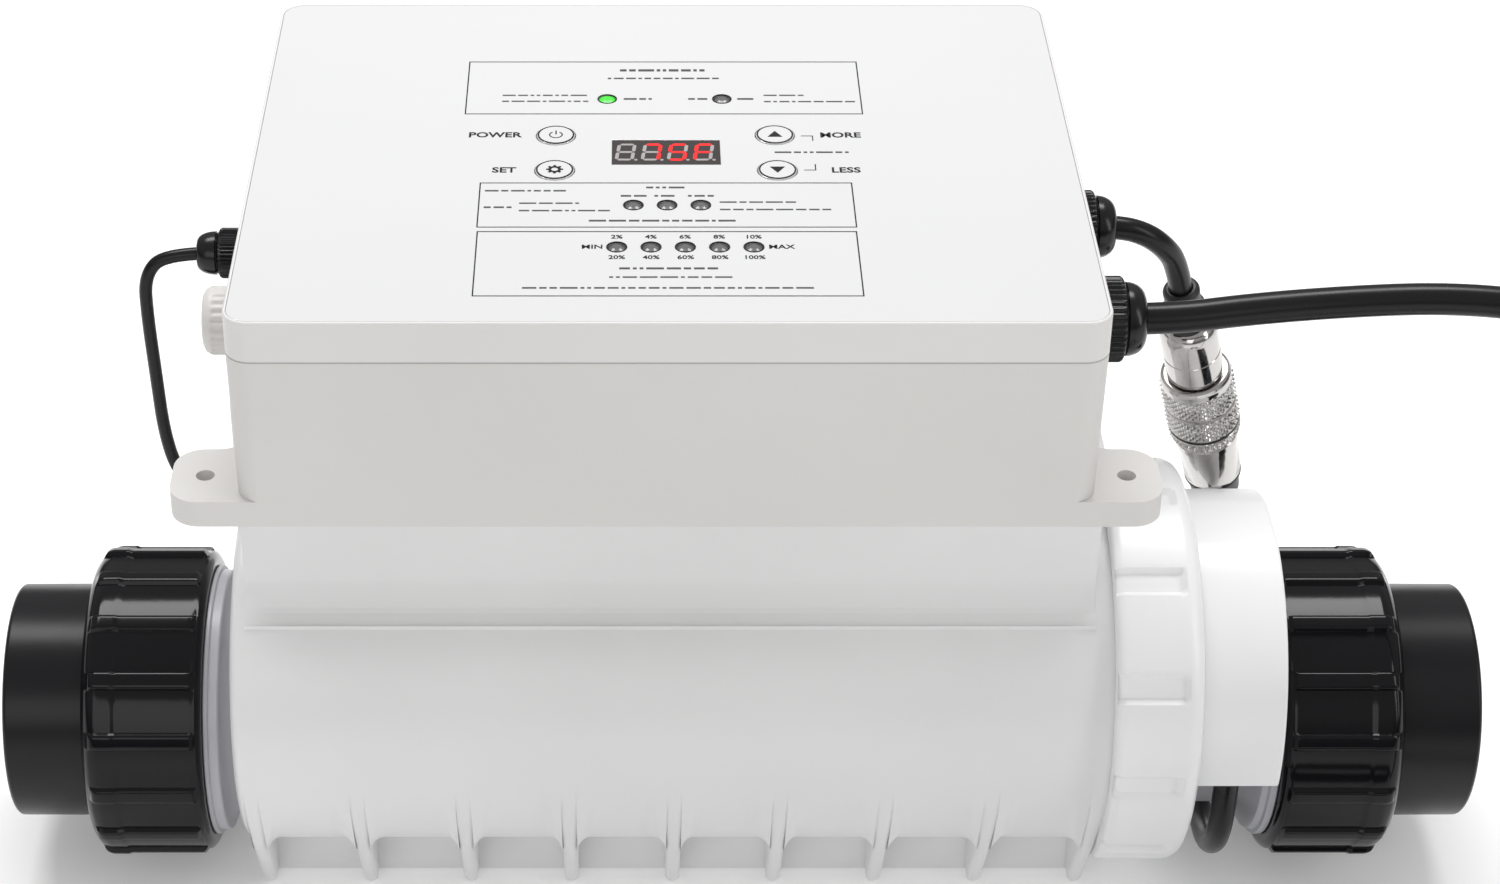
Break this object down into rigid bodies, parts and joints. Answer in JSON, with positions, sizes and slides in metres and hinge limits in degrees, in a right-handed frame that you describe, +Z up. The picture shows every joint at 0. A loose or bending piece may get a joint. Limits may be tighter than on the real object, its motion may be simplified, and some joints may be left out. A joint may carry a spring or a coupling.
{
  "type": "salt chlorine generator",
  "caption": "Wall box of control electronics on an in-line electrolytic cell with pipe unions, a threaded collar, cable glands and a plug-in cell lead.",
  "frame": {"origin": "underside of the middle foot fin, below the middle of the cell", "axes": "+X along the pipe towards the cell's head, +Y to the back of the box, +Z up out of the control panel"},
  "size_m": [0.4953, 0.357, 0.245],
  "materials": {
    "housing_plastic": "satin moulded, fine grain",
    "box_plastic": "fine leather grain moulded",
    "white_plastic": "satin moulded",
    "black_nut": "glossy moulded",
    "dark_pvc": "satin extruded pipe plastic",
    "rubber_seal": "matte",
    "panel_film": "glossy printed film",
    "window_film": "smoked clear window",
    "display_parts": "display block with digits",
    "green_led": "lit lens",
    "grey_led": "unlit lens",
    "button_cap": "glossy film over a cap",
    "circuit_board": "solder mask",
    "electronics": "moulded cases",
    "copper_winding": "enamelled wire",
    "aluminium": "extruded",
    "titanium": "coated expanded plate",
    "clear_plastic": "moulded carrier",
    "steel_screw": "stainless",
    "chrome": "bright nickel plate",
    "cord_jacket": "smooth flexible jacket",
    "connector_rubber": "moulded boot",
    "switch_plastic": "moulded"
  },
  "bodies": {
    "unit": {"board_screws": "steel_screw", "box_base": "box_plastic", "box_lid": "box_plastic", "box_saddle": "housing_plastic", "capacitors": "electronics", "cell_housing": "housing_plastic", "connector_plug": "chrome", "display_board": "circuit_board", "display_module": "display_parts", "display_window": "window_film", "flow_switch": "switch_plastic", "fuse": "electronics", "fuse_holder": "black_nut", "gland_bodies": "box_plastic", "gland_locknuts": "black_nut", "gland_seals": "rubber_seal", "good_led": "green_led", "heat_sink": "aluminium", "indicator_leds": "grey_led", "left_tailpiece": "dark_pvc", "left_union_oring": "rubber_seal", "lid_gasket": "rubber_seal", "lid_screws": "steel_screw", "main_board": "circuit_board", "mains_coil": "cord_jacket", "mains_cord": "cord_jacket", "mains_plug": "cord_jacket", "output_cord": "cord_jacket", "panel_overlay": "panel_film", "relays": "electronics", "saddle_screws": "steel_screw", "sensor_cord": "cord_jacket", "tact_switches": "electronics", "transformer_core": "electronics", "transformer_windings": "copper_winding"},
    "left_nut": {"left_union_nut": "black_nut"},
    "cartridge": {"cell_head": "white_plastic", "head_cover": "white_plastic", "head_oring": "rubber_seal", "plate_carrier": "clear_plastic", "electrode_plates": "titanium", "terminal_rods": "titanium", "right_tailpiece": "dark_pvc", "right_union_oring": "rubber_seal", "connector_socket": "connector_rubber", "cell_cord": "cord_jacket"},
    "collar": {"collar_nut": "white_plastic"},
    "right_nut": {"right_union_nut": "black_nut"},
    "coupling": {"coupling_ring": "chrome"},
    "mains_nut": {"mains_gland_nut": "black_nut"},
    "output_nut": {"output_gland_nut": "black_nut"},
    "sensor_nut": {"sensor_gland_nut": "black_nut"},
    "fuse_cap": {"fuse_cap": "black_nut"},
    "power_button": {"power_button": "button_cap"},
    "set_button": {"set_button": "button_cap"},
    "more_button": {"more_button": "button_cap"},
    "less_button": {"less_button": "button_cap"},
    "paddle": {"flow_paddle": "switch_plastic"}
  },
  "joints": [
    {"name": "left_nut_spin", "type": "hinge", "parent": "unit", "child": "left_nut", "pos_m": [-0.159, 0, 0.0506], "axis": [1, 0, 0], "continuous": true},
    {"name": "cartridge_pull", "type": "slide", "parent": "unit", "child": "cartridge", "axis": [1, 0, 0], "range_m": [0, 0.185]},
    {"name": "collar_spin", "type": "hinge", "parent": "cartridge", "child": "collar", "pos_m": [0.141, 0, 0.067], "axis": [1, 0, 0], "continuous": true},
    {"name": "right_nut_spin", "type": "hinge", "parent": "cartridge", "child": "right_nut", "pos_m": [0.2, 0, 0.0506], "axis": [1, 0, 0], "continuous": true},
    {"name": "coupling_spin", "type": "hinge", "parent": "unit", "child": "coupling", "pos_m": [0.1514, 0.0376, 0.1776], "axis": [0.243, 0.255, -0.9359], "continuous": true},
    {"name": "mains_nut_spin", "type": "hinge", "parent": "unit", "child": "mains_nut", "pos_m": [0.12015, -0.023, 0.2039], "axis": [1, 0, 0], "continuous": true},
    {"name": "output_nut_spin", "type": "hinge", "parent": "unit", "child": "output_nut", "pos_m": [0.12015, 0.028, 0.2039], "axis": [1, 0, 0], "continuous": true},
    {"name": "sensor_nut_spin", "type": "hinge", "parent": "unit", "child": "sensor_nut", "pos_m": [-0.12735, -0.002, 0.2128], "axis": [1, 0, 0], "continuous": true},
    {"name": "fuse_cap_turn", "type": "hinge", "parent": "unit", "child": "fuse_cap", "pos_m": [-0.12, -0.038, 0.2128], "axis": [-1, 0, 0], "range_deg": [0, 90]},
    {"name": "power_button_press", "type": "slide", "parent": "unit", "child": "power_button", "axis": [0, 0, -1], "range_m": [0, 0.0005], "stiffness_N_per_m": 800},
    {"name": "set_button_press", "type": "slide", "parent": "unit", "child": "set_button", "axis": [0, 0, -1], "range_m": [0, 0.0005], "stiffness_N_per_m": 800},
    {"name": "more_button_press", "type": "slide", "parent": "unit", "child": "more_button", "axis": [0, 0, -1], "range_m": [0, 0.0005], "stiffness_N_per_m": 800},
    {"name": "less_button_press", "type": "slide", "parent": "unit", "child": "less_button", "axis": [0, 0, -1], "range_m": [0, 0.0005], "stiffness_N_per_m": 800},
    {"name": "paddle_swing", "type": "hinge", "parent": "unit", "child": "paddle", "pos_m": [-0.105, 0, 0.108], "axis": [0, -1, 0], "range_deg": [0, 25], "stiffness_Nm_per_rad": 0.02}
  ]
}
